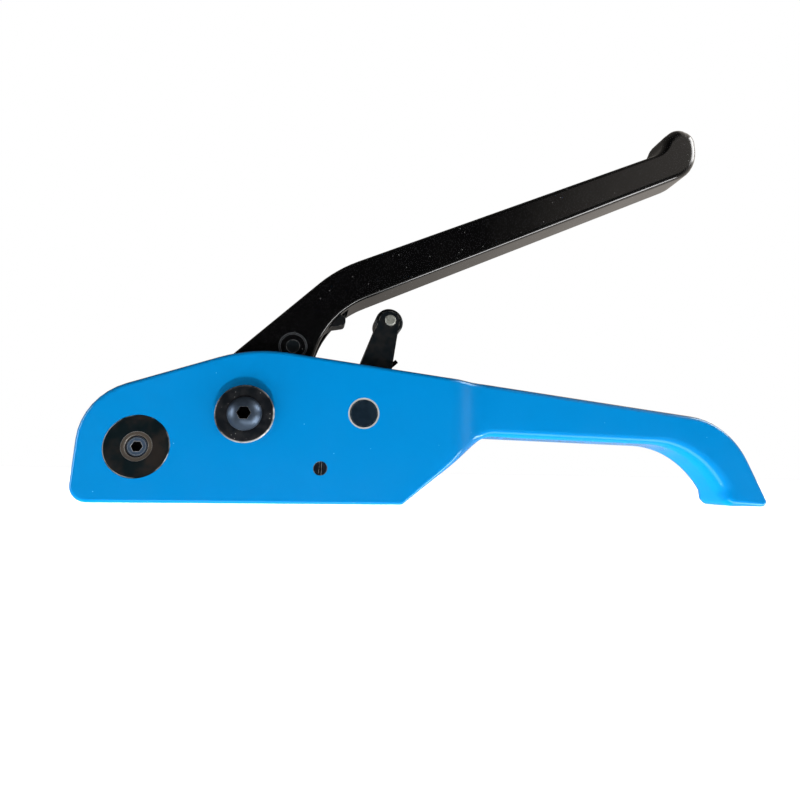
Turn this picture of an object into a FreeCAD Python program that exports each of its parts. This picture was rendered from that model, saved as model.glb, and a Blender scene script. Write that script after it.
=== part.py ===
"""Windlass tensioner for plastic strapping up to 19 mm wide.

Row frame: +X runs from the nose to the tail, +Z is up, and the origin is on the underside of
the foot, straight below the windlass axis. Y is zero in the middle of the hand lever, with the
closed side at -Y and the open strap side at +Y.
"""
import FreeCAD, Part
import math
import os
import re

import Sketcher

V = FreeCAD.Vector
TEETH = 15
FIRST_FACE = 5
KEY_ANGLE = -18
LEAST_CUT = 1e-3

doc = FreeCAD.newDocument("StrappingTensioner")
sheet = doc.addObject("Spreadsheet::Sheet", "Sizes")

SIZES = {
    # housing casting
    "head_half": 18.5,
    "wall": 6,
    "grip_half": 12,
    "nose_x": -65,
    "nose_z": 42.1,
    "nose_round": 25,
    "crown_x": 0.8,
    "crown_z": 66.3,
    "crown_round": 65,
    "heel_x": 68,
    "throat_x": 108.1,
    "throat_z": 31.2,
    "palm_x": 220.3,
    "palm_z": 29.4,
    "palm_round": 42,
    "hook_x": 240.5,
    "hook_z": 42.2,
    "hook_round": 38,
    "tail_x": 259.4,
    "tail_inner_x": 235.3,
    "step_start_x": 88.5,
    "step_length": 18.5,
    "floor_z": 8,
    "edge_round": 2.2,
    # foot and strap side
    "foot_thickness": 4,
    "foot_inner_y": 6,
    "strap_side_y": 41,
    # windlass
    "shaft_z": 36.5,
    "shaft_radius": 8,
    "journal_radius": 6,
    "drum_radius": 9,
    "tip_radius": 21,
    "root_radius": 16.6,
    "wheel_half": 6,
    "washer_radius": 12,
    # guide roller
    "guide_x": -41.7,
    "guide_z": 22.3,
    "guide_radius": 8,
    "disc_radius": 12.8,
    # gripper
    "gripper_x": 49.9,
    "gripper_z": 39.1,
    "gripper_shaft_radius": 6.15,
    "roller_x": 61.6,
    "roller_z": 84.4,
    "roller_radius": 6.65,
    # pawls
    "drive_pin_x": 17.4,
    "drive_pin_z": 69,
    "hold_pin_x": 32.1,
    "hold_pin_z": 14.9,
    "pin_radius": 3,
    # hand lever
    "lever_half": 11.2,
    "fork_slot_half": 6.6,
    # running fits
    "running": 0.05,
}


def fill_sheet():
    for row, (alias, value) in enumerate(SIZES.items(), start=1):
        sheet.set(f"A{row}", alias)
        sheet.set(f"B{row}", str(value))
        sheet.setAlias(f"B{row}", alias)
    doc.recompute()


def cell(text):
    """The expression with each alias written as a reference to the sheet."""
    return re.sub(r"[a-z][a-z_]*", lambda word: f"Sizes.{word[0]}", text)


def size(text):
    """The value in mm of a number or of an expression on the sheet's aliases."""
    if not isinstance(text, str):
        return float(text)
    result = sheet.evalExpression(text)
    return float(getattr(result, "Value", result))


def bind(thing, path, text):
    if isinstance(text, str):
        thing.setExpression(path, cell(text))


def new_body(label):
    body = doc.addObject("PartDesign::Body", label)
    body.Label = label
    return body


def place(body, x=0, y=0, z=0, turn=0):
    """Moves the body to (x, y, z), turned about +Y by some degrees."""
    turned_by = FreeCAD.Rotation(V(0, 1, 0), turn)
    body.Placement = FreeCAD.Placement(V(size(x), size(y), size(z)), turned_by)
    for axis, text in zip("xyz", (x, y, z)):
        bind(body, f"Placement.Base.{axis}", text)
    return body


def origin_plane(body, role):
    return next(f for f in body.Origin.OriginFeatures if f.Role == role)


def new_sketch(body, role, offset=0):
    sketch = body.newObject("Sketcher::SketchObject", f"{body.Label}_outline")
    sketch.AttachmentSupport = [(origin_plane(body, role), "")]
    sketch.MapMode = "FlatFace"
    sketch.AttachmentOffset = FreeCAD.Placement(V(0, 0, size(offset)), FreeCAD.Rotation())
    bind(sketch, "AttachmentOffset.Base.z", offset)
    return sketch


def polygon(corners):
    """Draws straight sides between corners, each held at its own place."""

    def draw(sketch):
        points = [V(size(a), size(b), 0) for a, b in corners]
        first = sketch.GeometryCount
        count = len(points)
        for i in range(count):
            sketch.addGeometry(Part.LineSegment(points[i], points[(i + 1) % count]))
        for i in range(count):
            last = first + (i - 1) % count
            sketch.addConstraint(Sketcher.Constraint("Coincident", last, 2, first + i, 1))
        for i, corner in enumerate(corners):
            for kind, text, value in zip(("DistanceX", "DistanceY"), corner, points[i]):
                number = sketch.addConstraint(Sketcher.Constraint(kind, -1, 1, first + i, 1, value))
                bind(sketch, f"Constraints[{number}]", text)

    return draw


def circle(radius, a=0, b=0):
    """Draws a circle of a stated radius centred at (a, b)."""

    def draw(sketch):
        centre = V(size(a), size(b), 0)
        number = sketch.addGeometry(Part.Circle(centre, V(0, 0, 1), size(radius)))
        held = sketch.addConstraint(Sketcher.Constraint("Radius", number, size(radius)))
        bind(sketch, f"Constraints[{held}]", radius)
        for kind, text, value in (("DistanceX", a, centre.x), ("DistanceY", b, centre.y)):
            held = sketch.addConstraint(Sketcher.Constraint(kind, -1, 1, number, 3, value))
            bind(sketch, f"Constraints[{held}]", text)

    return draw


def ring(points):
    """Draws a closed outline whose points follow a formula."""

    def draw(sketch):
        first = sketch.GeometryCount
        count = len(points)
        for i in range(count):
            sketch.addGeometry(Part.LineSegment(V(*points[i], 0), V(*points[(i + 1) % count], 0)))
        for i in range(count):
            last = first + (i - 1) % count
            sketch.addConstraint(Sketcher.Constraint("Coincident", last, 2, first + i, 1))

    return draw


def slab(body, kind, y_low, y_high, *drawings):
    """Pads or pockets XZ outlines between two Y levels."""
    sketch = new_sketch(body, "XZ_Plane", f"-({y_low})")
    for draw in drawings:
        draw(sketch)
    feature = body.newObject(f"PartDesign::{kind}", f"{body.Label}_{kind.lower()}")
    feature.Profile = sketch
    length = f"({y_high}) - ({y_low})"
    feature.Length = size(length)
    bind(feature, "Length", length)
    feature.Reversed = kind == "Pad"
    doc.recompute()


def pad(body, y_low, y_high, *drawings):
    slab(body, "Pad", y_low, y_high, *drawings)


def pocket(body, y_low, y_high, *drawings):
    before = body.Shape.Volume
    slab(body, "Pocket", y_low, y_high, *drawings)
    if body.Shape.Volume > before - LEAST_CUT:
        raise RuntimeError(f"a pocket in {body.Label} removes nothing")


def cut_down(body, z_low, z_high, *drawings):
    """Pockets XY outlines between two Z levels."""
    before = body.Shape.Volume
    sketch = new_sketch(body, "XY_Plane", z_high)
    for draw in drawings:
        draw(sketch)
    feature = body.newObject("PartDesign::Pocket", f"{body.Label}_pocket")
    feature.Profile = sketch
    length = f"({z_high}) - ({z_low})"
    feature.Length = size(length)
    bind(feature, "Length", length)
    doc.recompute()
    if body.Shape.Volume > before - LEAST_CUT:
        raise RuntimeError(f"a plan pocket in {body.Label} removes nothing")


def round_edges(body, radius, wanted):
    """Fillets the edges of the body's tip that a test picks out."""
    base = body.Tip
    names = [f"Edge{i}" for i, edge in enumerate(base.Shape.Edges, start=1) if wanted(edge)]
    if not names:
        raise RuntimeError(f"no edge to round on {body.Label}")
    feature = body.newObject("PartDesign::Fillet", f"{body.Label}_fillet")
    feature.Base = (base, names)
    feature.Radius = size(radius)
    bind(feature, "Radius", radius)
    doc.recompute()


def corner_at(a, b, near=0.2):
    """Picks the edge along Y through (x, z) = (a, b)."""
    x, z = size(a), size(b)

    def wanted(edge):
        ends = [v.Point for v in edge.Vertexes]
        return len(ends) == 2 and all(math.hypot(p.x - x, p.z - z) < near for p in ends)

    return wanted


def round_corners(body, corners):
    """Rounds the edges along Y at (x, z) corners, each with its own radius."""
    for a, b, radius in corners:
        round_edges(body, radius, corner_at(a, b))


def turned(label, profile, x=0, y=0, z=0, turn=0):
    """A body of revolution about Y from (radius, y) corners, placed at (x, y, z)."""
    body = new_body(label)
    sketch = new_sketch(body, "XY_Plane")
    polygon(profile)(sketch)
    feature = body.newObject("PartDesign::Revolution", f"{label}_revolution")
    feature.Profile = sketch
    feature.ReferenceAxis = (sketch, ["V_Axis"])
    feature.Angle = 360
    doc.recompute()
    return place(body, x, y, z, turn)


def tube(inner, outer, y_low, y_high):
    return [(inner, y_low), (outer, y_low), (outer, y_high), (inner, y_high)]


def rod(radius, y_low, y_high):
    return tube(0, radius, y_low, y_high)


def hexagon(across_flats):
    radius = across_flats / math.sqrt(3)
    angles = [math.radians(60 * k) for k in range(6)]
    return ring([(radius * math.cos(a), radius * math.sin(a)) for a in angles])


def polar(radius, degrees):
    """A point about the windlass axis, at an angle from +X towards +Z."""
    angle = math.radians(degrees)
    return radius * math.cos(angle), size("shaft_z") + radius * math.sin(angle)


# ---------------------------------------------------------------- housing


def housing_outline(body):
    """The side of the casting, from the nose through the palm grip to the hook at the tail."""
    corners = [
        ("nose_x", 0, 7),
        ("heel_x", 0, 1.5),
        ("throat_x", "throat_z", 12),
        ("palm_x", "palm_z", "palm_round"),
        ("tail_inner_x", 0, 3.5),
        ("tail_x", 0, 2.5),
        ("hook_x", "hook_z", "hook_round"),
        ("crown_x", "crown_z", "crown_round"),
        ("nose_x", "nose_z", "nose_round"),
    ]
    pad(body, "-head_half", "head_half", polygon([(a, b) for a, b, r in corners]))
    round_corners(body, corners)


def side_step(side):
    """The plan of what is cut away so that the grip is narrower than the head."""
    start, length = size("step_start_x"), size("step_length")
    deep, wide = side * size("head_half"), side * size("grip_half")
    step = size("head_half") - size("grip_half")
    radius = (length**2 + step**2) / (4 * step)
    middle = V(start + length / 2, (deep + wide) / 2, 0)
    half = math.asin(length / 2 / radius) / 2
    rise, run = radius * (1 - math.cos(half)), radius * math.sin(half)

    def draw(sketch):
        leave = V(start, deep, 0)
        arrive = V(start + length, wide, 0)
        outside = side * (size("head_half") + 5)
        end_x = size("tail_x") + 5
        sketch.addGeometry(Part.Arc(leave, leave + V(run, -side * rise, 0), middle))
        sketch.addGeometry(Part.Arc(middle, arrive + V(-run, side * rise, 0), arrive))
        path = [arrive, V(end_x, wide, 0), V(end_x, outside, 0), V(start, outside, 0), leave]
        for a, b in zip(path, path[1:]):
            sketch.addGeometry(Part.LineSegment(a, b))

    return draw


def is_rim(edge):
    """True for the edges round the two outer sides, but not for the seams of the side steps."""
    ends = [v.Point for v in edge.Vertexes]
    outside = all(abs(p.y) > size("grip_half") - 0.01 for p in ends)
    same_side = ends[0].y * ends[-1].y > 0
    seam_low = size("step_start_x") - 0.1
    seam_high = size("step_start_x") + size("step_length") + 0.1
    seam = abs(ends[0].x - ends[-1].x) < 0.01 and seam_low < ends[0].x < seam_high
    return outside and same_side and not seam


def make_housing():
    body = new_body("housing")
    housing_outline(body)
    for side in (-1, 1):
        cut_down(body, -5, 80, side_step(side))
    round_edges(body, "edge_round", is_rim)
    cavity = [(-45.1, 66), (-15.6, "floor_z"), (60, "floor_z"), (72, 28), (84, 52), (84, 75), (-45.1, 75)]
    pocket(body, "wall - head_half", "head_half - wall", polygon(cavity))
    pocket(body, "foot_inner_y", "head_half + 1", polygon([(-70, -1), (75, -1), (75, 4.05), (-70, 4.05)]))
    near, inner = "-head_half - 1", "head_half + 1"
    pocket(body, near, "wall - head_half", circle("disc_radius", "guide_x", "guide_z"))
    pocket(body, near, inner, circle("4 + running / 2", "guide_x", "guide_z"))
    pocket(body, near, "0", circle("shaft_radius + 0.02", 0, "shaft_z"))
    pocket(body, "0", inner, circle("shaft_radius + 2.02", 0, "shaft_z"))
    pocket(body, near, inner, circle("gripper_shaft_radius + 0.72", "gripper_x", "gripper_z"))
    pocket(body, near, "head_half - 2", circle("pin_radius + 0.04", "hold_pin_x", "hold_pin_z"))
    return body


# ---------------------------------------------------------------- foot

SCREW_XS = (-54, -18, 22, 58)
SCREW_Y = 15.5


def drill_up(body, radius, z_low, z_high):
    """Drills the row of foot screw holes, upright, between two levels."""
    cut_down(body, z_low, z_high, *(circle(radius, x, SCREW_Y) for x in SCREW_XS))


def make_foot_plate():
    """The thin foot that slides under the strap, bevelled at the nose."""
    body = new_body("foot_plate")
    outline = [("nose_x", 1.2), ("nose_x + 6", 0), (64, 0), (66, 2), (66, "foot_thickness"),
               ("nose_x + 3", "foot_thickness")]
    pad(body, "foot_inner_y", "strap_side_y", polygon(outline))
    drill_up(body, 2.52, -1, 5)
    cut_down(body, -1, 0.38, *(circle(4.65, x, SCREW_Y) for x in SCREW_XS))
    for x in SCREW_XS:
        countersink(body, x)
    insert_seat = [(32.98, 2), (53.02, 2), (53.02, 5), (32.98, 5)]
    pocket(body, 20.98, 39.52, polygon(insert_seat))


def countersink(body, x):
    """Turns one conical seat, 90 degrees, about an upright axis."""
    sketch = new_sketch(body, "XZ_Plane", -SCREW_Y)
    polygon([(x, 0.3), (x + 4.75, 0.3), (x + 2.52, 2.53), (x, 2.53)])(sketch)
    sketch.addGeometry(Part.LineSegment(V(x, -5, 0), V(x, 10, 0)), True)
    groove = body.newObject("PartDesign::Groove", "foot_plate_countersink")
    groove.Profile = sketch
    groove.ReferenceAxis = (sketch, ["Axis0"])
    groove.Angle = 360
    doc.recompute()


def make_foot_screws():
    """Four M5 countersunk screws from below, through the foot plate into the middle wall."""
    screws = []
    outline = [V(0, 0, 0.4), V(4.6, 0, 0.4), V(2.5, 0, 2.5), V(2.5, 0, 16), V(0, 0, 16), V(0, 0, 0.4)]
    for number, x in enumerate(SCREW_XS, start=1):
        screw = doc.addObject("Part::Feature", f"foot_screw_{number}")
        screw.Shape = Part.Face(Part.makePolygon(outline)).revolve(V(), V(0, 0, 1), 360)
        screw.Placement.Base = V(x, SCREW_Y, 0)
        screws.append(screw)
    group = doc.addObject("Part::Compound", "foot_plate_screws")
    group.Links = screws


def make_grip_insert():
    """The hardened anvil under the gripper jaw, ribbed across the strap."""
    pitch, count, left = 1.25, 16, 33
    top = []
    for k in range(count):
        top += [(left + pitch * k, 4.4), (left + pitch * (k + 0.7), 5)]
    outline = [(left, 2)] + top + [(left + pitch * count, 4.4), (left + pitch * count, 2)]
    body = new_body("grip_insert")
    pad(body, 21, 39.5, ring(outline))


# ---------------------------------------------------------------- nose


def make_guide_parts():
    """The front guide roller, its axle, and what closes the near end of the bore."""
    at = {"x": "guide_x", "z": "guide_z"}
    turned("front_bearing_disc", [
        (6.05, "-head_half"), ("disc_radius - 0.32", "-head_half"),
        ("disc_radius - 0.02", "0.3 - head_half"), ("disc_radius - 0.02", "wall - head_half"),
        (6.05, "wall - head_half")], **at)
    turned("guide_axle_bush", [
        (4.6, "0.2 - head_half"), (6.03, "0.2 - head_half"), (6.03, "wall - head_half"),
        (4.05, "wall - head_half"), (4.05, "0.75 - head_half")], **at)
    screw = turned("axle_set_screw", [
        (0, "0.6 - head_half"), (3.5, "0.6 - head_half"), (4, "1.1 - head_half"),
        (4, "wall - head_half - 0.3"), (0, "wall - head_half - 0.3")], **at)
    pocket(screw, "-head_half", "4 - head_half", hexagon(4))
    groove = ["strap_side_y - 1.1", "strap_side_y - 0.1"]
    turned("guide_roller_axle", [
        (0, "wall - head_half"), (4, "wall - head_half"), (4, groove[0]), (3.5, groove[0]),
        (3.5, groove[1]), (4, groove[1]), (4, "strap_side_y + 0.7"), (3.5, "strap_side_y + 1.2"),
        (0, "strap_side_y + 1.2")], **at)
    turned("guide_spacer_washer", tube(4.05, 7, "head_half", "head_half + 1"), **at)
    turned("guide_roller", [
        (4.05, 20), (9.5, 20), (9.5, 20.6), ("guide_radius", 21), ("guide_radius", 39.2),
        (9.5, 39.4), (9.5, 39.8), (4.05, 39.8)], **at)
    clip = turned("roller_circlip", tube(3.52, 6, "strap_side_y - 1.05", "strap_side_y - 0.15"), **at)
    opening = [(-1.5, -8), (1.5, -8), (1.5, 0), (-1.5, 0)]
    pocket(clip, "strap_side_y - 2", "strap_side_y + 1", polygon(opening))


# ---------------------------------------------------------------- windlass


def make_shaft_bushes():
    at = {"z": "shaft_z"}
    turned("shaft_bush_near", [
        ("journal_radius + running", "-head_half - 4.4"), ("journal_radius + 3.2", "-head_half - 4.4"),
        ("journal_radius + 3.2", "-head_half"), ("shaft_radius", "-head_half"),
        ("shaft_radius", "wall - head_half - 0.1"),
        ("journal_radius + running", "wall - head_half - 0.1")], **at)
    turned("shaft_bush_far", [
        ("shaft_radius + running", "head_half - wall + 0.1"), ("shaft_radius + 2", "head_half - wall + 0.1"),
        ("shaft_radius + 2", "head_half"), ("shaft_radius + 4", "head_half"),
        ("shaft_radius + 4", "head_half + 1.5"), ("shaft_radius + running", "head_half + 1.5")], **at)


def make_windlass_shaft():
    """A stepped shaft put in from the strap side, with the strap slot across its drum."""
    shoulder = "wall - head_half + 0.1"
    body = turned("windlass_shaft", [
        (0, "-head_half - 4.5"), ("journal_radius", "-head_half - 4.5"), ("journal_radius", shoulder),
        ("shaft_radius", shoulder), ("shaft_radius", "head_half + 1.6"), ("drum_radius", "head_half + 1.6"),
        ("drum_radius", "strap_side_y - 1"), ("drum_radius - 1", "strap_side_y"), (0, "strap_side_y")],
        z="shaft_z", turn=KEY_ANGLE)
    slot = [(-10, -1.2), (10, -1.2), (10, 1.2), (-10, 1.2)]
    pocket(body, "head_half + 2.5", "strap_side_y + 1", polygon(slot))
    pocket(body, "-head_half - 5", "-head_half + 12", circle(4.02))
    keyway = [(-2.5, 5.2), (2.5, 5.2), (2.5, 9), (-2.5, 9)]
    pocket(body, "-wheel_half", "wheel_half", polygon(keyway))


def make_ratchet_key():
    body = new_body("ratchet_key")
    section = [(-2.48, 5.22), (2.48, 5.22), (2.48, 10), (-2.48, 10)]
    pad(body, "0.05 - wheel_half", "wheel_half - 0.05", polygon(section))
    place(body, z="shaft_z", turn=KEY_ANGLE)


def tooth_points():
    """Saw teeth, clockwise: a radial face looks anticlockwise, and a straight back falls away from it."""
    points = []
    for k in range(TEETH):
        face = math.radians(FIRST_FACE - 360 / TEETH * k)
        for radius in (size("root_radius"), size("tip_radius")):
            points.append((radius * math.cos(face), radius * math.sin(face)))
    return points


def turn_points(points, degrees):
    """The points turned clockwise about the sketch's origin."""
    c, s = math.cos(math.radians(degrees)), math.sin(math.radians(degrees))
    return [(a * c + b * s, b * c - a * s) for a, b in points]


def make_ratchet_wheel():
    body = new_body("ratchet_wheel")
    pad(body, "-wheel_half", "wheel_half", ring(tooth_points()), circle("shaft_radius + 0.02"))
    key_seat = turn_points([(-2.5, 6), (2.5, 6), (2.5, 10.02), (-2.5, 10.02)], KEY_ANGLE)
    pocket(body, "-wheel_half - 1", "wheel_half + 1", ring(key_seat))
    place(body, z="shaft_z")


def make_shaft_end():
    """The big washer and the button screw that close the near end of the shaft."""
    seat = "-head_half - 4.5"
    turned("end_washer", [
        (4.2, f"{seat} - 1.8"), ("washer_radius - 0.4", f"{seat} - 1.8"), ("washer_radius", f"{seat} - 1.4"),
        ("washer_radius", f"{seat} - 0.4"), ("washer_radius - 0.4", seat), (4.2, seat)], z="shaft_z")
    body = new_body("button_screw")
    sketch = new_sketch(body, "XY_Plane")
    base, head, rise, hex_depth = size(seat) - 1.8, 7, 4.4, 4.6
    crown = V(0, base - rise, 0)
    rim = V(head, base - 0.6, 0)
    middle = V(head * 0.62, base - rise * 0.79, 0)
    path = [rim, V(head, base, 0), V(4, base, 0), V(4, base + 13, 0), V(0, base + 13, 0), crown]
    sketch.addGeometry(Part.Arc(crown, middle, rim))
    for a, b in zip(path, path[1:]):
        sketch.addGeometry(Part.LineSegment(a, b))
    turn = body.newObject("PartDesign::Revolution", "button_screw_revolution")
    turn.Profile = sketch
    turn.ReferenceAxis = (sketch, ["V_Axis"])
    turn.Angle = 360
    doc.recompute()
    pocket(body, f"{base - rise - 1}", f"{base - rise + hex_depth}", hexagon(5))
    place(body, z="shaft_z")


# ---------------------------------------------------------------- hand lever


def make_handle():
    """The cast hand lever: a forked eye round the windlass, a bend, and an upturned thumb stop."""
    slope = 0.48
    top_x, top_z = 35.6, 107.3
    lip_x = 203
    corners = [
        (-20.7, 50.95, 14),
        (-18, 17, 15),
        (19, 17, 15),
        (20.5, 44.8, 25),
        (33.4, 86.4, 42),
        (235.9, 185, 30),
        (235.9, 210.2, 11),
        (222, 209.9, 10),
        (lip_x, top_z + slope * (lip_x - top_x), 14),
        (top_x, top_z, 65),
    ]
    body = new_body("handle")
    pad(body, "-lever_half", "lever_half", polygon([(a, b) for a, b, r in corners]))
    round_corners(body, corners)
    round_edges(body, 2, lambda edge: all(abs(v.Point.y) > size("lever_half") - 0.01 for v in edge.Vertexes)
                and edge.Vertexes[0].Point.y * edge.Vertexes[-1].Point.y > 0)
    slot = [(-30, 5), (30, 5), (30, 60), (46, 84), (39, 93.5), (28, 91.5), (12, 76), (-6, 60.5), (-13, 58.5),
            (-30, 58.5)]
    pocket(body, "-fork_slot_half", "fork_slot_half", polygon(slot))
    pocket(body, "-lever_half - 1", "lever_half + 1", circle("shaft_radius + running", 0, "shaft_z"))
    pocket(body, "-lever_half - 1", "lever_half + 1", circle("pin_radius", "drive_pin_x", "drive_pin_z"))
    at = ("drive_pin_x", "drive_pin_z")
    pocket(body, "-lever_half - 1", "0.3 - lever_half", circle(6.1, *at), circle(5.6, *at))


def make_drive_pawl():
    """The pawl that turns the wheel on the closing stroke, with a finger tab behind the throat."""
    nose = [polar(17.0, 6.3), polar(22.6, 6.0)]
    back = [polar(19.9, 19), polar(21.8, 28)]
    outline = [nose[0], nose[1], (25.6, 39.4), (26.6, 43), (25.4, 53), (23.2, 66), (23.6, 72.5),
               (34.3, 80.5), (40.9, 81.9), (40.7, 86.3), (33.5, 86.6), (15.5, 75),
               (11.6, 71), (11.5, 66), (15.4, 55.5), back[1], back[0]]
    body = new_body("drive_pawl")
    pad(body, -6, 2.4, ring(outline))
    pocket(body, -7, 3, circle("pin_radius + running", "drive_pin_x", "drive_pin_z"))
    round_edges(body, 1.8, corner_at(40.9, 81.9))
    round_edges(body, 1.8, corner_at(40.7, 86.3))


def make_pins():
    turned("drive_pawl_pin", rod("pin_radius - 0.01", "0.15 - lever_half", "lever_half - 0.15"),
           x="drive_pin_x", z="drive_pin_z")
    turned("drive_pawl_spring", tube("pin_radius + 0.15", 4.6, 2.7, 6.3), x="drive_pin_x", z="drive_pin_z")
    pin = turned("holding_pawl_pin", rod("pin_radius", "0.2 - head_half", "head_half - 2.1"),
                 x="hold_pin_x", z="hold_pin_z")
    slot = [(-0.45, -4), (0.45, -4), (0.45, 4), (-0.45, 4)]
    pocket(pin, "-head_half", "1.4 - head_half", polygon(slot))
    turned("holding_pawl_spring", tube("pin_radius + 0.15", 4.6, 5.9, 10.5), x="hold_pin_x", z="hold_pin_z")


def make_holding_pawl():
    """The pawl under the wheel that keeps the strap tight, stored just clear of the tooth tips."""
    outline = [(37.1, 12), (37.1, 18), (33.5, 20), (27, 20.2), (18, 15.8), (10.8, 16.9), (8.5, 16.6),
               (9.4, 13), (16, 10.6), (30, 9.7), (34, 9.7)]
    body = new_body("holding_pawl")
    pad(body, -5.5, 5.5, ring(outline))
    pocket(body, -6, 6, circle("pin_radius + running", "hold_pin_x", "hold_pin_z"))


# ---------------------------------------------------------------- gripper

LEVER_PIN_Y = 9.9
JAW_PIN_Y = 30


def make_gripper_bushes():
    at = {"x": "gripper_x", "z": "gripper_z"}
    for label, low, high in (("gripper_bush_near", "-head_half", "wall - head_half"),
                             ("gripper_bush_far", "head_half - wall", "head_half")):
        turned(label, tube("gripper_shaft_radius + running", "gripper_shaft_radius + 0.7", low, high), **at)


def make_gripper_shaft():
    end = "strap_side_y - 1.4"
    body = turned("gripper_shaft", [
        (0, "0.1 - head_half"), ("gripper_shaft_radius - 0.4", "0.1 - head_half"),
        ("gripper_shaft_radius", "0.5 - head_half"), ("gripper_shaft_radius", f"{end} - 0.6"),
        ("gripper_shaft_radius - 0.6", end), (0, end)], x="gripper_x", z="gripper_z")
    cut_down(body, -9, 9, circle(1.51, 0, LEVER_PIN_Y), circle(1.51, 0, JAW_PIN_Y))


def make_release_lever():
    """Two cheeks on a hub: the hand lever presses the roller between them to lift the jaw."""
    body = new_body("release_lever")
    cheeks = [(41.3, 34), (41.5, 44), (57.82, 88.8), (66.67, 88.8), (62.6, 58.5), (58.9, 36), (55, 30.2),
              (45, 30.2)]
    pad(body, -10.5, 10.5, polygon(cheeks))
    round_corners(body, [(57.82, 88.8, 4.4), (66.67, 88.8, 4.4), (41.3, 34, 5), (58.9, 36, 5)])
    pad(body, -12.2, 12.2, circle(9, "gripper_x", "gripper_z"))
    gap = [(46, 66), (75, 66), (75, 95), (46, 95)]
    pocket(body, -7.5, 7.5, polygon(gap))
    spring_room = [(36, 25), (75, 25), (75, 67), (59, 67), (58, 57), (36, 57)]
    pocket(body, -7.5, 7.5, polygon(spring_room))
    pad(body, -7.6, 7.6, circle(7.6, "gripper_x", "gripper_z"))
    pocket(body, -13, 13, circle("gripper_shaft_radius + 0.01", "gripper_x", "gripper_z"))
    pocket(body, -11, 11, circle(2.6, "roller_x", "roller_z"))
    cut_down(body, 28, 50, circle(1.51, "gripper_x", LEVER_PIN_Y))


def make_release_roller():
    at = {"x": "roller_x", "z": "roller_z"}
    turned("release_roller", [
        ("2.6 + running", -7.2), (6, -7.2), ("roller_radius", -6.6), ("roller_radius", 6.6),
        (6, 7.2), ("2.6 + running", 7.2)], **at)
    turned("roller_rivet", [
        (0, -11.3), (2.1, -11.3), (2.59, -10.9), (2.59, 10.9), (2.1, 11.3), (0, 11.3)], **at)


def make_gripper_spring():
    """The torsion spring round the lever's hub, as its outer shape, with both legs."""
    body = new_body("gripper_spring")
    at = ("gripper_x", "gripper_z")
    pad(body, -6.5, -1, circle(9.8, *at), circle(7.8, *at))
    front_leg = [(57.3, 43.6), (59.5, 43.4), (61.05, 59.65), (66.62, 64.82), (64.98, 66.58), (58.96, 60.98)]
    pad(body, -5.5, -3.5, polygon(front_leg))
    rear_leg = [(56.5, 32.5), (66.5, 24.4), (67.7, 25.9), (58.5, 35)]
    pad(body, -3.2, -1.2, polygon(rear_leg))


def make_jaw():
    """The gripper jaw on the strap side, toothed where it meets the strap."""
    body = new_body("gripper_jaw")
    count, left, right, low = 9, 37.0, 48.25, 5.35
    pitch = (right - left) / count
    teeth = []
    for k in range(count):
        teeth += [(left + pitch * k, low + 0.7), (left + pitch * (k + 0.6), low)]
    outline = teeth + [(right, low + 0.7), (51, 16), (59.2, 34), (57, 47), (44, 48), (40.6, 40), (36.2, 16)]
    pad(body, 21, 39, ring(outline))
    pocket(body, 20, 40, circle("gripper_shaft_radius + 0.01", "gripper_x", "gripper_z"))
    for spot in ((59.2, 34), (57, 47), (44, 48), (40.6, 40)):
        round_edges(body, 3, corner_at(*spot))
    cut_down(body, 28, 50, circle(1.51, "gripper_x", JAW_PIN_Y))


def make_cross_pins():
    """Spring pins that key the lever and the jaw to their shaft."""
    for label, y in (("lever_roll_pin", LEVER_PIN_Y), ("jaw_roll_pin", JAW_PIN_Y)):
        pin = doc.addObject("Part::Cylinder", label)
        pin.Radius = 1.5
        pin.Height = 16
        pin.Placement.Base = V(size("gripper_x"), y, size("gripper_z - 8"))
        bind(pin, "Placement.Base.x", "gripper_x")
        bind(pin, "Placement.Base.z", "gripper_z - 8")


# ---------------------------------------------------------------- build


def build():
    fill_sheet()
    housing = make_housing()
    drill_up(housing, 2.52, -1, 16.5)
    make_foot_plate()
    make_foot_screws()
    make_grip_insert()
    make_guide_parts()
    make_shaft_bushes()
    make_windlass_shaft()
    make_ratchet_key()
    make_ratchet_wheel()
    make_shaft_end()
    make_handle()
    make_drive_pawl()
    make_pins()
    make_holding_pawl()
    make_gripper_bushes()
    make_gripper_shaft()
    make_release_lever()
    make_release_roller()
    make_gripper_spring()
    make_jaw()
    make_cross_pins()
    doc.recompute()


def sub_parts():
    inner = {link for item in doc.Objects if item.TypeId == "Part::Compound" for link in item.Links}
    kinds = ("PartDesign::Body", "Part::Compound", "Part::Cylinder")
    return [item for item in doc.Objects if item.TypeId in kinds and item not in inner]


def export():
    failed = [item.Label for item in doc.Objects if {"Invalid", "Error"} & set(item.State)]
    if failed:
        raise RuntimeError(f"failed to recompute: {failed}")
    bad = [item.Label for item in sub_parts() if item.Shape.isNull() or not item.Shape.isValid()]
    if bad:
        raise RuntimeError(f"bad shapes: {bad}")
    os.makedirs("parts", exist_ok=True)
    for item in sub_parts():
        item.Shape.exportStep(f"parts/{item.Label}.step")
        print(f"{item.Label}: {len(item.Shape.Solids)} solid(s), {item.Shape.Volume / 1000:.2f} cm3")


build()
export()
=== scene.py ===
"""The looks of a strapping tensioner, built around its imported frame.

The row frame has +X from the nose to the tail, +Z up, its origin under the foot below the
windlass, and the closed side of the tool at -Y, where the camera stands. Lengths are in metres,
but for the outlines, cutters and constants that say they are in millimetres.
"""

import math

import bmesh
import bpy
from mathutils import Matrix, Vector
from mathutils.geometry import delaunay_2d_cdt


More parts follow.
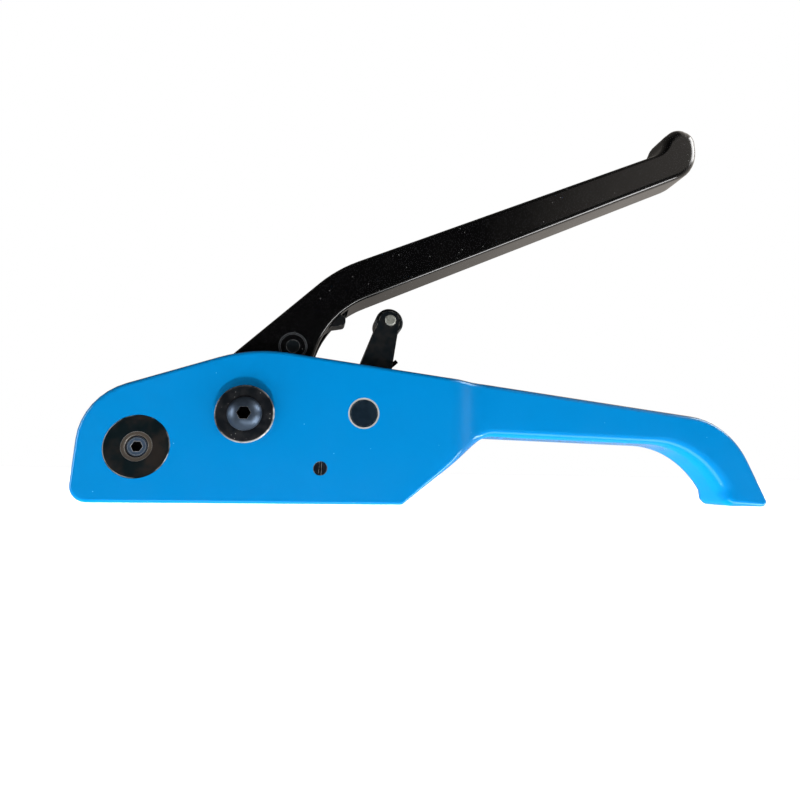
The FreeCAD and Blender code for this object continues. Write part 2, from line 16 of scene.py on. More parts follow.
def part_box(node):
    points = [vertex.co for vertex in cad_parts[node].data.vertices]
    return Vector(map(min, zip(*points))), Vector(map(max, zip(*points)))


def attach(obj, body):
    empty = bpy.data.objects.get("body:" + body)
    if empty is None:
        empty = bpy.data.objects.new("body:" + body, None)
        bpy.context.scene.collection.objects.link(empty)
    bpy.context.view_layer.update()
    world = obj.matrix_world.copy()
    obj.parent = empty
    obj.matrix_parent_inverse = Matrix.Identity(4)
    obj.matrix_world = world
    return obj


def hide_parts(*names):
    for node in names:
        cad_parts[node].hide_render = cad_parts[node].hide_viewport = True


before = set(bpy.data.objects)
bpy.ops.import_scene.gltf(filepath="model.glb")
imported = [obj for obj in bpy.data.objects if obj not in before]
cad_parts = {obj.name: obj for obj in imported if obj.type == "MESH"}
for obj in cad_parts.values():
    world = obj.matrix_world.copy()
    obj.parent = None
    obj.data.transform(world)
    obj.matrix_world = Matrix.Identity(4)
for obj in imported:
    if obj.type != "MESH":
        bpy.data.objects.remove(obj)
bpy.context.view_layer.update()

MM = 0.001

# The half widths of the castings and the thickness of the housing's walls, in millimetres.
HEAD_HALF = 18.5
GRIP_HALF = 12
LEVER_HALF = 11.2
WALL = 6

# The axes along Y, as (x, z) in millimetres.
GUIDE_AXIS = (-41.7, 22.3)
WINDLASS_AXIS = (0, 36.5)
GRIPPER_AXIS = (49.9, 39.1)
HOLDING_PAWL_AXIS = (32.1, 14.9)
DRIVE_PAWL_AXIS = (17.4, 69)

# How finely round shapes are cut up, and how far an edge turns before it is shown sharp.
SAMPLE_SPACING = 4 * MM
ARC_STEP_DEGREES = 9
LEAST_ARC_STEPS = 3
RIM_STEPS = 8
SIDE_ROWS = 24
HOLE_SIDES = 96
COIL_STEPS = 24
SHARP_DEGREES = 32

# The first value socket and the result socket of a mix node, by the kind of its data.
MIX_SOCKETS = {"FLOAT": (2, 0), "RGBA": (6, 2)}


def width_of(node):
    low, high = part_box(node)
    return high.x - low.x


def axis_of(node):
    """The middle of a turned CAD node, which lies on its own axis."""
    low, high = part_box(node)
    return (low + high) / 2


def between(a, b, share):
    return a + (b - a) * share


def add_object(name, data):
    added = bpy.data.objects.new(name, data)
    bpy.context.scene.collection.objects.link(added)
    return added


# ---------------------------------------------------------------- camera


def make_camera():
    """Close to the tool's near side, just above the floor, and turned a little right and up."""
    data = bpy.data.cameras.new("camera")
    data.sensor_width = 36
    data.lens = 25.81
    data.shift_x = -0.0266
    data.shift_y = -0.05
    data.clip_start = 0.01
    camera = add_object("camera", data)
    camera.location = (0.02465, -0.27114, 0.01346)
    camera.rotation_euler = [math.radians(a) for a in (101.2066, -1.0038, -11.5204)]
    bpy.context.scene.camera = camera


# ---------------------------------------------------------------- node graphs


class Graph:
    """A node tree, with short ways to add nodes and join them."""

    def __init__(self, tree):
        self.tree = tree

    def node(self, kind, **settings):
        node = self.tree.nodes.new(kind)
        for name, value in settings.items():
            setattr(node, name, value)
        return node

    def feed(self, socket, value):
        """Links a socket to another one, or sets its value."""
        if isinstance(value, bpy.types.NodeSocket):
            self.tree.links.new(value, socket)
        elif isinstance(value, tuple) and len(value) == 3 and len(socket.default_value) == 4:
            socket.default_value = (*value, 1)
        else:
            socket.default_value = value

    def math(self, operation, a, b=0.0):
        node = self.node("ShaderNodeMath", operation=operation)
        self.feed(node.inputs[0], a)
        self.feed(node.inputs[1], b)
        return node.outputs[0]

    def times(self, a, b):
        return self.math("MULTIPLY", a, b)

    def split(self, vector):
        """The X, Y and Z outputs of a vector."""
        node = self.node("ShaderNodeSeparateXYZ")
        self.feed(node.inputs[0], vector)
        return node.outputs

    def step(self, value, low, high, out_low=0.0, out_high=1.0):
        """A smooth step from out_low at low to out_high at high."""
        node = self.node("ShaderNodeMapRange", interpolation_type="SMOOTHSTEP")
        for name, number in (("Value", value), ("From Min", low), ("From Max", high),
                             ("To Min", out_low), ("To Max", out_high)):
            self.feed(node.inputs[name], number)
        return node.outputs["Result"]

    def mix(self, share, a, b, kind="RGBA"):
        """A blend of two colours, or of two numbers where kind is FLOAT: all b at a share of 1."""
        node = self.node("ShaderNodeMix", data_type=kind)
        first, result = MIX_SOCKETS[kind]
        for index, value in ((0, share), (first, a), (first + 1, b)):
            self.feed(node.inputs[index], value)
        return node.outputs[result]


class Finish(Graph):
    """A material. Its texture coordinates are row-frame metres, fixed to the piece.

    The colour, metallic and roughness it starts with are its plain values, under any graph.
    """

    def __init__(self, name, colour, metallic, roughness):
        self.material = bpy.data.materials.new(name)
        self.material.use_nodes = True
        super().__init__(self.material.node_tree)
        self.shader = self.tree.nodes["Principled BSDF"]
        self.coords = self.node("ShaderNodeTexCoord").outputs["Object"]
        self.set(base_color=colour, metallic=metallic, roughness=roughness)

    def set(self, **values):
        """Feeds the shader's inputs, so that base_color is its Base Color."""
        for name, value in values.items():
            self.feed(self.shader.inputs[name.replace("_", " ").title()], value)

    def vector(self, operation, a, b=(0.0, 0.0, 0.0)):
        node = self.node("ShaderNodeVectorMath", operation=operation)
        self.feed(node.inputs[0], a)
        self.feed(node.inputs[1], b)
        return node.outputs["Value" if operation in ("LENGTH", "DOT_PRODUCT") else "Vector"]

    def noise(self, size, detail=3.0, stretch=(1, 1, 1)):
        """Cloudy noise whose blotches are about size metres wide, longer along a stretched axis."""
        scaled = self.vector("DIVIDE", self.coords, Vector(stretch))
        node = self.node("ShaderNodeTexNoise")
        self.feed(node.inputs["Vector"], scaled)
        self.feed(node.inputs["Scale"], 1 / size)
        self.feed(node.inputs["Detail"], detail)
        return node.outputs["Fac"]

    def blotches(self, size, spread, low=0.0, high=1.0, detail=3.0):
        """From low to high in blotches about size metres wide, firmer the smaller the spread."""
        return self.step(self.noise(size, detail), 0.5 - spread, 0.5 + spread, low, high)

    def specks(self, spacing, radius):
        """1 inside sparse round specks, 0 elsewhere. The radius is a share of the spacing."""
        node = self.node("ShaderNodeTexVoronoi", feature="F1")
        self.feed(node.inputs["Vector"], self.coords)
        self.feed(node.inputs["Scale"], 1 / spacing)
        self.feed(node.inputs["Randomness"], 1.0)
        core = radius * 0.5
        return self.step(node.outputs["Distance"], radius, core)

    def edges(self, radius):
        """1 on sharp edges and 0 on flat faces, from how far a bevelled normal leans."""
        bevel = self.node("ShaderNodeBevel", samples=6)
        self.feed(bevel.inputs["Radius"], radius)
        true_normal = self.node("ShaderNodeNewGeometry").outputs["Normal"]
        lean = self.vector("DOT_PRODUCT", bevel.outputs["Normal"], true_normal)
        flat, sharp = 0.995, 0.85
        return self.step(lean, flat, sharp)

    def bump(self, *layers):
        """Stacks (height, metres deep) layers into one normal."""
        normal = None
        for height, depth in layers:
            node = self.node("ShaderNodeBump")
            self.feed(node.inputs["Strength"], 1.0)
            self.feed(node.inputs["Distance"], depth)
            self.feed(node.inputs["Height"], height)
            if normal:
                self.feed(node.inputs["Normal"], normal)
            normal = node.outputs["Normal"]
        self.set(normal=normal)

    def from_axis(self, centre):
        """The distance from an axis along Y through centre."""
        away = self.vector("SUBTRACT", self.coords, Vector(centre))
        flat = self.vector("MULTIPLY", away, Vector((1, 0, 1)))
        return self.vector("LENGTH", flat)


# ---------------------------------------------------------------- finishes


def blue_paint():
    """Thick gloss azure enamel over a casting: fine orange peel, a few nibs, and chipped edges."""
    deep, pale = (0.0, 0.154, 0.398), (0.0, 0.158, 0.409)
    nib_colour, chip_colour = (0.10, 0.42, 0.70), (0.02, 0.08, 0.16)
    graph = Finish("blue_enamel", (0.0, 0.156, 0.403), 0.0, 0.2)
    enamel = graph.mix(graph.noise(size=0.08, detail=2), deep, pale)
    chips = graph.times(graph.edges(radius=0.0006), graph.step(graph.noise(size=0.004), 0.62, 0.70))
    nibs = graph.specks(spacing=0.007, radius=0.035)
    graph.set(base_color=graph.mix(chips, graph.mix(nibs, enamel, nib_colour), chip_colour))
    graph.set(roughness=graph.blotches(size=0.02, spread=0.3, low=0.13, high=0.2, detail=2))
    graph.set(coat_weight=0.25, coat_roughness=0.04, specular_tint=(0.5, 0.85, 1.0))
    orange_peel = graph.noise(size=0.0015, detail=2)
    graph.bump((orange_peel, 0.000008), (nibs, 0.00003))
    return graph


def black_paint():
    """Dipped gloss black enamel, a little dusty, its edges painted light as highlight and wear."""
    black, rubbed_and_highlit_colour = (0.0016, 0.0016, 0.0018), (0.07, 0.075, 0.08)
    dust_colour = (0.10, 0.10, 0.10)
    graph = Finish("black_enamel", (0.002, 0.002, 0.002), 0.0, 0.16)
    dust = graph.specks(spacing=0.004, radius=0.07)
    # Painted highlight and rubbed wear: sharp edges, the pin's groove among them, are lighter.
    rubbed = graph.mix(graph.edges(radius=0.0005), black, rubbed_and_highlit_colour)
    graph.set(base_color=graph.mix(dust, rubbed, dust_colour))
    graph.set(roughness=graph.blotches(size=0.02, spread=0.3, low=0.12, high=0.24, detail=2))
    graph.set(coat_weight=0.4, coat_roughness=0.06)
    orange_peel, runs = graph.noise(size=0.0015, detail=2), graph.noise(size=0.012, detail=2)
    graph.bump((orange_peel, 0.00001), (runs, 0.00008), (dust, 0.00003))
    return graph


def dark_steel(name, shades, worn_colour, metallic=0.7, roughness=(0.28, 0.46)):
    """Blackened steel in patches of two shades, rubbed bright along its edges, dusty and marked."""
    dust_colour = (0.25, 0.25, 0.24)
    graph = Finish(name, shades[0], metallic, roughness[0])
    tint = graph.mix(graph.blotches(size=0.005, spread=0.15), *shades)
    rubbed = graph.step(graph.noise(size=0.002), 0.4, 0.55)
    worn = graph.mix(graph.times(graph.edges(radius=0.0005), rubbed), tint, worn_colour)
    dust = graph.specks(spacing=0.0022, radius=0.06)
    graph.set(base_color=graph.mix(dust, worn, dust_colour))
    smooth, rough = roughness
    graph.set(roughness=graph.blotches(size=0.0025, spread=0.2, low=smooth, high=rough))
    grit, pits = graph.noise(size=0.0005, detail=2), graph.specks(spacing=0.0015, radius=0.12)
    graph.bump((grit, 0.00001), (pits, 0.00002))
    return graph


def worn_highlit_washer(centre, radius):
    """A flecked blackened washer, its rubbed rim a painted highlight, most of all low at the tail.
    """
    shades = (0.012, 0.015, 0.02), (0.03, 0.032, 0.036)
    rim_highlight_colour, fleck_colour = (0.55, 0.54, 0.52), (0.38, 0.38, 0.37)
    graph = Finish("washer_steel", (0.02, 0.024, 0.03), 0.7, 0.35)
    tint = graph.mix(graph.blotches(size=0.004, spread=0.15), *shades)
    # Painted highlight on the rubbed rim, brightest low towards the tail, facing the low lamps; the
    # scuffs are wear.
    rim = graph.step(graph.math("DIVIDE", graph.from_axis(centre), radius), 0.93, 0.975)
    away = graph.split(graph.vector("SUBTRACT", graph.coords, Vector(centre)))
    lean = graph.math("SUBTRACT", away["X"], away["Z"])
    side = graph.step(lean, -0.4 * radius, 1.1 * radius, out_low=0.25)
    scuffed = graph.step(graph.noise(size=0.004, detail=2), 0.3, 0.6)
    worn = graph.mix(graph.times(graph.times(rim, side), scuffed), tint, rim_highlight_colour)
    where = graph.step(graph.noise(size=0.004), 0.5, 0.6)
    flecks = graph.times(graph.specks(spacing=0.0014, radius=0.2), where)
    graph.set(base_color=graph.mix(flecks, worn, fleck_colour))
    graph.set(roughness=graph.blotches(size=0.002, spread=0.2, low=0.3, high=0.5))
    graph.bump((graph.noise(size=0.0006), 0.00002), (scuffed, 0.00001))
    return graph


def turned_disc(centre, radius):
    """A blackened turned disc: faint rings, blue and brown patches, painted highlight arcs at its
    edge.
    """
    shades = (0.005, 0.014, 0.018), (0.034, 0.028, 0.025)
    rim_highlight_colour = (0.6, 0.6, 0.58)
    radians_to_edge = 130.0
    graph = Finish("disc_steel", (0.015, 0.025, 0.03), 0.7, 0.35)
    tint = graph.mix(graph.blotches(size=0.008, spread=0.15), *shades)
    away = graph.math("DIVIDE", graph.from_axis(centre), radius)
    # Painted highlight: bright arcs along the disc's rim.
    highlight_arcs = graph.step(graph.noise(size=0.012), 0.36, 0.5)
    rim = graph.times(graph.step(away, 0.960, 0.980), highlight_arcs)
    graph.set(base_color=graph.mix(rim, tint, rim_highlight_colour))
    graph.set(roughness=graph.blotches(size=0.003, spread=0.2, low=0.3, high=0.48))
    rings = graph.math("SINE", graph.times(away, radians_to_edge))
    grit, pits = graph.noise(size=0.0006), graph.specks(spacing=0.002, radius=0.1)
    graph.bump((rings, 0.000003), (grit, 0.00001), (pits, 0.00002))
    return graph


def plain_metal(name, colour, roughness, grain=(1, 1, 1), metallic=1.0, wear_and_highlight_width=0.0003, socket=None):
    """Bare metal with a grain, darker in some patches, and painted brighter along its edges.

    The edges are bright as rubbed wear and as a painted highlight, as wide as the width given.
    A socket is (axis, radius, Y level): painted shade blackens what lies inside and deeper than
    that.
    """
    darker = tuple(c * 0.85 for c in colour)
    worn_and_highlit_edge_colour = tuple(0.5 + c * 0.4 for c in colour)
    socket_shade_colour = (0.003, 0.003, 0.004)
    graph = Finish(name, colour, metallic, roughness)
    patches = graph.mix(graph.noise(size=0.004), darker, colour)
    # Painted highlight and rubbed wear: the edges are lighter.
    marked = graph.mix(graph.edges(radius=wear_and_highlight_width), patches, worn_and_highlit_edge_colour)
    # Painted shade: inside a socket and deeper than its level the colour turns black.
    if socket:
        centre, radius, level = socket
        deep = graph.step(graph.split(graph.coords)["Y"], level, level + 0.4 * MM)
        inside = graph.step(graph.from_axis(centre), radius + 0.1 * MM, radius)
        marked = graph.mix(graph.times(deep, inside), marked, socket_shade_colour)
    graph.set(base_color=marked)
    smooth, rough = roughness - 0.03, roughness + 0.05
    graph.set(roughness=graph.blotches(size=0.004, spread=0.2, low=smooth, high=rough))
    graph.bump((graph.noise(size=0.0005, detail=2, stretch=grain), 0.000003))
    return graph


def finish_nodes():
    """Gives every CAD node the finish of its slot in the record, or one of its own."""
    finishes = {
        "blue_paint": blue_paint(),
        "black_paint": black_paint(),
        "black_oxide": dark_steel(
            "black_oxide", shades=((0.010, 0.015, 0.019), (0.022, 0.023, 0.024)),
            worn_colour=(0.24, 0.23, 0.21)),
        # Its socket paints shade into the button screw's hex hole.
        "blued_steel": plain_metal(
            "blued_steel", (0.075, 0.105, 0.15), roughness=0.34, metallic=0.8, wear_and_highlight_width=0.0002,
            socket=(axis_of("button_screw"), 3 * MM, -28.7 * MM)),
        "ground_steel": plain_metal(
            "ground_steel", (0.50, 0.50, 0.50), roughness=0.44, grain=(8, 1, 1)),
        "rivet_steel": plain_metal(
            "rivet_steel", (0.27, 0.28, 0.25), roughness=0.46, metallic=0.6),
        "spring_steel": plain_metal("spring_steel", (0.03, 0.03, 0.032), roughness=0.35),
        # Its socket paints shade into the bush's chamfered bore round the set screw.
        "bronze": plain_metal(
            "bronze", (0.13, 0.11, 0.09), roughness=0.42, metallic=0.7, wear_and_highlight_width=0.0004,
            socket=(axis_of("guide_axle_bush"), 4.75 * MM, -18.29 * MM)),
    }
    own = {
        "gripper_shaft": dark_steel(
            "shaft_steel", shades=((0.010, 0.024, 0.042), (0.016, 0.034, 0.056)),
            worn_colour=(0.3, 0.32, 0.34)),
        "gripper_bush_near": plain_metal(
            "bush_steel", (0.42, 0.41, 0.39), roughness=0.5, metallic=0.3, wear_and_highlight_width=0.00008),
        "end_washer": worn_highlit_washer(axis_of("end_washer"), width_of("end_washer") / 2),
        "front_bearing_disc": turned_disc(
            axis_of("front_bearing_disc"), width_of("front_bearing_disc") / 2),
        # Its socket paints shade into the set screw's hex hole.
        "axle_set_screw": plain_metal(
            "screw_steel", (0.055, 0.085, 0.13), roughness=0.32, metallic=0.5, wear_and_highlight_width=0.0005,
            socket=(axis_of("axle_set_screw"), 2.4 * MM, -17.7 * MM)),
        "holding_pawl_pin": dark_steel(
            "pin_steel", shades=((0.004, 0.005, 0.007), (0.006, 0.008, 0.012)),
            worn_colour=(0.2, 0.2, 0.2), metallic=0.0, roughness=(0.12, 0.2)),
    }
    for name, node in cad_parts.items():
        for slot in node.material_slots:
            slot.material = own.get(name, finishes[slot.material.name]).material
    return finishes


# ---------------------------------------------------------------- castings


def outline_samples(corners):
    """Samples (place, outward normal, rim radius) round an outline of (x, z, radius, rim) corners.

    A corner's rim is a pair: the radius of the side's rounded edge where its arc starts and ends.
    """
    places = [Vector((x, z)) for x, z, radius, rim in corners]
    count = len(corners)
    area = sum(places[i - 1].cross(places[i]) for i in range(count))
    turn = 1 if area > 0 else -1
    samples = []
    for i, (x, z, radius, rim) in enumerate(corners):
        corner = places[i]
        back = (places[i - 1] - corner).normalized()
        ahead = (places[(i + 1) % count] - corner).normalized()
        half = back.angle(ahead) / 2
        reach = radius / math.tan(half)
        centre = corner + (back + ahead).normalized() * radius / math.sin(half)
        outward = 1 if turn * back.cross(ahead) < 0 else -1
        first = (corner + back * reach - centre) / radius
        sweep = math.pi - 2 * half
        spin = sweep if first.cross(corner + ahead * reach - centre) > 0 else -sweep
        steps = max(LEAST_ARC_STEPS, math.ceil(radius * sweep / SAMPLE_SPACING),
                    math.ceil(math.degrees(sweep) / ARC_STEP_DEGREES))
        arc = []
        for k in range(steps + 1):
            share = k / steps
            direction = Matrix.Rotation(spin * share, 2) @ first
            place = centre + direction * radius
            arc.append((place, direction * outward, between(*rim, share)))
        if samples:
            samples += straight(samples[-1], arc[0])
        samples += arc
    return samples + straight(samples[-1], samples[0])


def straight(start, end):
    """The samples strictly between two others."""
    count = math.floor((end[0] - start[0]).length / SAMPLE_SPACING)
    shares = [k / (count + 1) for k in range(1, count + 1)]
    return [tuple(between(a, b, share) for a, b in zip(start, end)) for share in shares]


def side_mesh(shape, loop, half_at, side, columns):
    """Fills one side of a casting inside its rim, with extra points in columns where it curves."""
    flat = [Vector((vertex.co.x, vertex.co.z)) for vertex in loop]
    low = min(point.y for point in flat)
    high = max(point.y for point in flat)
    rows = range(SIDE_ROWS + 1)
    extra = [Vector((x, low + (high - low) * k / SIDE_ROWS)) for x in columns for k in rows]
    edges = [(i, (i + 1) % len(flat)) for i in range(len(flat))]
    inside_only, tolerance = 1, 1e-7
    places, _, faces, sources, _, _ = delaunay_2d_cdt(
        flat + extra, edges, [list(range(len(flat)))], inside_only, tolerance)
    made = {}
    for face in faces:
        corners = []
        for index in face:
            known = [k for k in sources[index] if k < len(flat)]
            if known:
                corners.append(loop[known[0]])
                continue
            if index not in made:
                x, z = places[index]
                made[index] = shape.verts.new((x, side * half_at(x), z))
            corners.append(made[index])
        shape.faces.new(corners)


def solid_from(shape, name):
    """Turns a closed bmesh into an object."""
    bmesh.ops.recalc_face_normals(shape, faces=shape.faces)
    mesh = bpy.data.meshes.new(name)
    shape.to_mesh(mesh)
    shape.free()
    return add_object(name, mesh)


def casting(name, corners, half_at, columns=()):
    """A solid between two sides, its half width set by half_at(x), with both rims rounded."""
    shape = bmesh.new()
    rows = []
    angles = [math.pi / 2 * k / RIM_STEPS for k in range(RIM_STEPS + 1)]
    levels = [(-1, angle) for angle in reversed(angles)] + [(1, angle) for angle in angles]
    for place, normal, rim in outline_samples(in_metres(corners)):
        row = []
        for side, angle in levels:
            at = place - normal * rim * (1 - math.cos(angle))
            y = side * (half_at(at.x) - rim + rim * math.sin(angle))
            row.append(shape.verts.new((at.x, y, at.y)))
        rows.append(row)
    for i, row in enumerate(rows):
        ahead = rows[(i + 1) % len(rows)]
        for k in range(len(levels) - 1):
            shape.faces.new((row[k], ahead[k], ahead[k + 1], row[k + 1]))
    side_mesh(shape, [row[0] for row in rows], half_at, -1, columns)
    side_mesh(shape, [row[-1] for row in rows], half_at, 1, columns)
    return solid_from(shape, name)


def in_metres(corners):
    return [(x * MM, z * MM, radius * MM, (rim[0] * MM, rim[1] * MM))
            for x, z, radius, rim in corners]


def prism(points, low, high):
    """A cutter: an XZ outline between two Y levels, all in millimetres."""
    shape = bmesh.new()
    face = shape.faces.new([shape.verts.new((x * MM, low * MM, z * MM)) for x, z in points])
    grown = bmesh.ops.extrude_face_region(shape, geom=[face])
    moved = [item for item in grown["geom"] if isinstance(item, bmesh.types.BMVert)]
    bmesh.ops.translate(shape, verts=moved, vec=(0, (high - low) * MM, 0))
    return solid_from(shape, "cutter")


def round_points(axis, radius, angles):
    """Points round an (x, z) axis, in millimetres."""
    x, z = axis
    return [(x + radius * math.cos(a), z + radius * math.sin(a)) for a in angles]


def bore(axis, radius, low, high):
    """A cutter for a round hole along Y."""
    angles = [2 * math.pi * k / HOLE_SIDES for k in range(HOLE_SIDES)]
    return prism(round_points(axis, radius, angles), low, high)


def split_ring(axis, inner, outer, low, high):
    """A cutter for a round groove, open by one degree so that its outline is a single loop."""
    gap = 1
    angles = [math.radians(gap / 2 + (360 - gap) * k / HOLE_SIDES) for k in range(HOLE_SIDES + 1)]
    outline = round_points(axis, outer, angles) + round_points(axis, inner, reversed(angles))
    return prism(outline, low, high)


def carve(piece, cutters):
    """Cuts the cutters out of the piece for good and removes them."""
    for cutter in cutters:
        modifier = piece.modifiers.new("cut", "BOOLEAN")
        modifier.operation = "DIFFERENCE"
        modifier.solver = "EXACT"
        modifier.object = cutter
    solid = piece.evaluated_get(bpy.context.evaluated_depsgraph_get())
    carved = bpy.data.meshes.new_from_object(solid)
    piece.modifiers.clear()
    piece.data = carved
    for cutter in cutters:
        bpy.data.objects.remove(cutter)


def soften(piece):
    """Smooth shading, except over the edges that turn by SHARP_DEGREES or more."""
    limit = math.radians(SHARP_DEGREES)
    shape = bmesh.new()
    shape.from_mesh(piece.data)
    for face in shape.faces:
        face.smooth = True
    for edge in shape.edges:
        edge.smooth = len(edge.link_faces) == 2 and edge.calc_face_angle() < limit
    shape.to_mesh(piece.data)
    shape.free()
    weighted = piece.modifiers.new("normals", "WEIGHTED_NORMAL")
    weighted.keep_sharp = True


def stand_in(piece, body, node, finish):
    """Shows the piece in a CAD node's place."""
    piece.data.materials.clear()
    piece.data.materials.append(finish.material)
    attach(piece, body)
    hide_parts(node)


def housing_half(x):
    """Half the housing's width at x: the head, an S-shaped step, and the narrower grip."""
    head, grip, start, length = HEAD_HALF * MM, GRIP_HALF * MM, 88.5 * MM, 18.5 * MM
    along = min(max(x - start, 0), length)
    step = head - grip
    radius = (length**2 + step**2) / (4 * step)
    nearer = min(along, length - along)
    drop = radius - math.sqrt(radius**2 - nearer**2)
    return head - drop if along < length / 2 else grip + drop


def make_housing(finish):
    """The blue casting, with a thick rounded hook at the tail. Its figures are in millimetres."""
    corners = [
        (-65, 0, 7, (1.6, 1.6)),
        (68, 0, 1.5, (1.2, 1.2)),
        (108.1, 31.2, 12, (4, 4)),
        (220.3, 29.4, 42, (4.5, 8.5)),
        (235.3, 0, 5.5, (5.2, 4)),
        (259.4, 0, 2.5, (2.2, 2.2)),
        (240.5, 42.5, 38, (2.6, 2.6)),
        (107, 56.1, 60, (2.4, 2.4)),
        (88.5, 57.2, 60, (2, 2)),
        (0.8, 66.3, 65, (2, 2)),
        (-65, 42.1, 25, (2, 2)),
    ]
    first, apart, count = 86, 1.6, 15
    columns = [(first + apart * k) * MM for k in range(count)]
    piece = casting("housing_casting", corners, housing_half, columns)
    cavity = [(-45.1, 66), (-15.6, 8), (60, 8), (72, 28), (84, 52), (84, 75), (-45.1, 75)]
    foot_seat = [(-70, -1), (75, -1), (75, 4.05), (-70, 4.05)]
    foot_near, pin_end = 6, 16.5
    inner, clear = HEAD_HALF - WALL, 20
    carve(piece, [
        prism(cavity, -inner, inner),
        prism(foot_seat, foot_near, clear),
        bore(GUIDE_AXIS, 12.8, -clear, -inner),  # the front bearing disc
        bore(GUIDE_AXIS, 4.03, -13, clear),  # the guide roller's axle
        bore(WINDLASS_AXIS, 8.02, -clear, 0),  # the windlass shaft's near bush
        bore(WINDLASS_AXIS, 10.02, 0, clear),  # its far bush
        bore(GRIPPER_AXIS, 6.87, -clear, clear),  # the gripper shaft's two bushes
        bore(HOLDING_PAWL_AXIS, 3.04, -clear, pin_end),  # the holding pawl's pin
    ])
    soften(piece)
    stand_in(piece, "housing", "housing", finish)


def make_handle(finish):
    """The black hand lever, slim at the bend, with a fat rounded thumb stop at its end.

    Its figures are in millimetres.
    """
    corners = [
        (-21.3, 51.4, 14, (2, 2)),
        (-18, 17, 15, (2, 2)),
        (19, 17, 15, (2, 2)),
        (20.5, 44.8, 25, (2, 2)),
        (33.4, 86.4, 42, (1.8, 1.8)),
        (237.4, 185.6, 24.5, (3, 8.5)),
        (237.4, 210.6, 9.2, (8.5, 8.5)),
        (224.5, 211.3, 9.5, (8, 6.5)),
        (216.3, 204.2, 9, (6, 5)),
        (213.7, 193.1, 16, (4, 2.6)),
        (35.3, 107.9, 65, (2, 2)),
    ]
    piece = casting("handle_casting", corners, lambda x: LEVER_HALF * MM)
    slot = [(-30, 5), (30, 5), (30, 60), (46, 84), (39, 93.5), (28, 91.5), (12, 76), (-6, 60.5),
            (-13, 58.5), (-30, 58.5)]
    slot_half, clear, groove_floor = 6.6, 12, -10.85
    carve(piece, [
        prism(slot, -slot_half, slot_half),
        bore(WINDLASS_AXIS, 8.05, -clear, clear),
        bore(DRIVE_PAWL_AXIS, 3, -clear, clear),
        split_ring(DRIVE_PAWL_AXIS, 5.6, 6.2, -clear, groove_floor),
    ])
    soften(piece)
    stand_in(piece, "handle", "handle", finish)


# ---------------------------------------------------------------- springs


def wire(name, points, thickness, body, node, finish):
    """A round wire along points, standing for a CAD spring."""
    curve = bpy.data.curves.new(name, "CURVE")
    curve.dimensions = "3D"
    curve.bevel_depth = thickness / 2
    curve.bevel_resolution = 5
    curve.use_fill_caps = True
    line = curve.splines.new("NURBS")
    line.points.add(len(points) - 1)
    for point, place in zip(line.points, points):
        point.co = (*place, 1)
    line.order_u = 3
    line.use_endpoint_u = True
    line.resolution_u = 4
    stand_in(add_object(name, curve), body, node, finish)


def coil(centre, radius, y_first, y_last, turns, start):
    """Points round an axis along Y, from the start angle in degrees, from y_first to y_last."""
    count = round(turns * COIL_STEPS)
    points = []
    for i in range(count + 1):
        share = i / count
        angle = math.radians(start) + 2 * math.pi * turns * share
        x = centre.x + radius * math.cos(angle)
        z = centre.z + radius * math.sin(angle)
        points.append(Vector((x, between(y_first, y_last, share), z)))
    return points


def make_pawl_spring(name, body, node, finish):
    """The small coil beside a pawl, round its pin."""
    low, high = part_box(node)
    thick = 1.3 * MM
    radius = (high.x - low.x) / 2 - thick / 2
    points = coil(axis_of(node), radius, low.y + thick / 2, high.y - thick / 2, turns=2.4, start=30)
    wire(name, points, thick, body, node, finish)


def make_gripper_spring(finish):
    """The torsion spring on the lever's hub: a straight rear leg and a hooked front leg."""
    low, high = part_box("gripper_spring")
    hub = axis_of("gripper_shaft")
    thick, radius, gap = 2 * MM, 8.8 * MM, 0.4 * MM
    y_first, y_last = high.y - thick / 2 - gap, low.y + thick / 2
    turns = coil(hub, radius, y_first, y_last, turns=2.95, start=-52)
    first, last = turns[0], turns[-1]

    def from_hub(x, y, z):
        return Vector((hub.x + x * MM, y, hub.z + z * MM))

    rear = from_hub(17, first.y, -13.8)
    foot, knee, tip = [from_hub(x, last.y, z) for x, z in ((8.5, 4.4), (10.1, 21.2), (15.9, 26.6))]
    leg = [foot.lerp(knee, 0.3), foot.lerp(knee, 0.9), knee, knee.lerp(tip, 0.2), tip]
    points = [rear, rear.lerp(first, 0.5)] + turns + leg
    wire("gripper_coil_spring", points, thick, "gripper", "gripper_spring", finish)


# ---------------------------------------------------------------- studio


def make_floor():
    """A wide pale floor. Light from below reaches the tool through it, as over a light table."""
    reach = 6.0
    corners = [(-reach, -reach, 0), (reach, -reach, 0), (reach, reach, 0), (-reach, reach, 0)]
    mesh = bpy.data.meshes.new("floor")
    mesh.from_pydata(corners, [], [(0, 1, 2, 3)])
    floor = add_object("floor", mesh)
    darker, paler = (0.90, 0.90, 0.90), (0.93, 0.93, 0.93)
    graph = Finish("floor", (0.9, 0.9, 0.9), 0.0, 0.9)
    graph.set(base_color=graph.mix(graph.noise(size=0.3), darker, paler))
    mesh.materials.append(graph.material)
    floor.visible_shadow = False
    floor.visible_glossy = False
    return floor


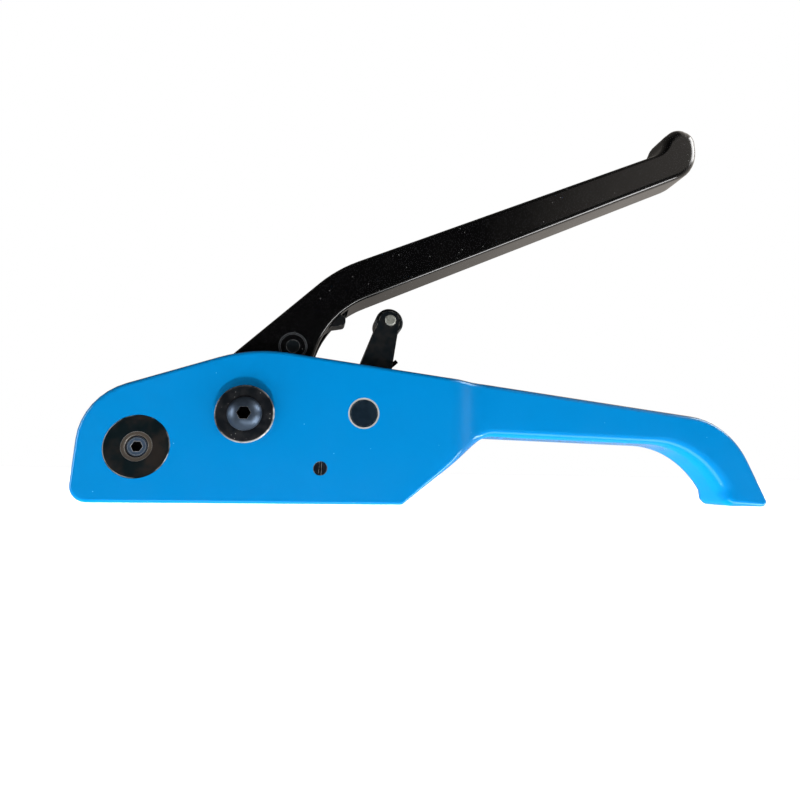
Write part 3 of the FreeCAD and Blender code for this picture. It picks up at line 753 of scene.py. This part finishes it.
def make_world():
    """Dim in front, so that flat black faces stay black, and brighter and warm behind.

    The camera itself sees it plain white.
    """
    world = bpy.data.worlds.new("studio")
    world.use_nodes = True
    graph = Graph(world.node_tree)
    axes = graph.split(graph.node("ShaderNodeTexCoord").outputs["Generated"])
    x, y, z = axes["X"], axes["Y"], axes["Z"]
    depth = graph.step(y, -0.8, 0.3, out_low=0.04, out_high=0.6)
    height = graph.step(z, -0.3, 0.8, out_low=1.0, out_high=0.5)
    side = graph.step(x, 0.2, 0.75, out_low=0.35, out_high=1.0)
    patch = graph.times(graph.step(x, 0.28, 0.5, out_high=0.42), graph.step(z, 0.22, 0.4))
    level = graph.math("ADD", graph.times(graph.times(depth, height), side), patch)
    seen = graph.node("ShaderNodeLightPath").outputs["Is Camera Ray"]
    warm, white = (1.0, 0.92, 0.84), (1, 1, 1)
    background = graph.tree.nodes["Background"]
    graph.feed(background.inputs["Strength"], graph.mix(seen, level, 1.0, kind="FLOAT"))
    graph.feed(background.inputs["Color"], graph.mix(seen, warm, white))
    bpy.context.scene.world = world


def aim_lamp(name, light, place, aim):
    lamp = add_object(name, light)
    lamp.location = place
    lamp.rotation_euler = (Vector(aim) - Vector(place)).to_track_quat("-Z", "Y").to_euler()
    return lamp


def softbox(name, place, size, watts, aim=(0.08, 0.0, 0.06), reflected=True, lights=True):
    """An area lamp. It can be left out of reflections, or be seen in them alone."""
    light = bpy.data.lights.new(name, "AREA")
    light.shape = "RECTANGLE"
    light.size, light.size_y = size
    light.energy = watts
    lamp = aim_lamp(name, light, place, aim)
    lamp.visible_glossy = reflected
    lamp.visible_diffuse = lights


def light_floor(floor):
    """A wide lamp overhead that lights the floor alone."""
    light = bpy.data.lights.new("floor_lamp", "SUN")
    light.energy = 5
    light.use_shadow = False
    lamp = aim_lamp("floor_lamp", light, (0, 0, 2), (0, 0, 0))
    lit = bpy.data.collections.new("floor_only")
    lit.objects.link(floor)
    lamp.light_linking.receiver_collection = lit


def make_lamps():
    """Softboxes round the tool. Each size is across and along the lamp."""
    softbox("window", (0.35, -0.55, -0.75), (1.6, 0.35), 4.6)
    softbox("key", (0.14, -0.98, -0.67), (0.05, 0.05), 10.5, reflected=False)
    softbox("side", (1.25, -0.30, -0.60), (0.35, 0.8), 9, lights=False)
    softbox("high", (1.35, -0.15, 0.85), (0.7, 0.6), 7, lights=False)
    softbox("slope", (1.20, -0.25, 0.05), (0.4, 0.8), 3, reflected=False)
    softbox("left", (-1.30, -0.35, 0.20), (0.35, 0.9), 7, lights=False)
    softbox("fill", (-0.5, -0.8, 0.5), (0.8, 0.8), 1.6, reflected=False)
    softbox("under", (-0.25, 0.05, -0.55), (0.4, 0.4), 12, aim=(0.2, 0, 0.02), reflected=False)


make_camera()
finishes = finish_nodes()
make_housing(finishes["blue_paint"])
make_handle(finishes["black_paint"])
spring_steel = finishes["spring_steel"]
make_pawl_spring("drive_pawl_coil_spring", "handle", "drive_pawl_spring", spring_steel)
make_pawl_spring("holding_pawl_coil_spring", "housing", "holding_pawl_spring", spring_steel)
make_gripper_spring(spring_steel)
floor = make_floor()
make_world()
make_lamps()
light_floor(floor)
bpy.context.scene.view_settings.view_transform = "Standard"
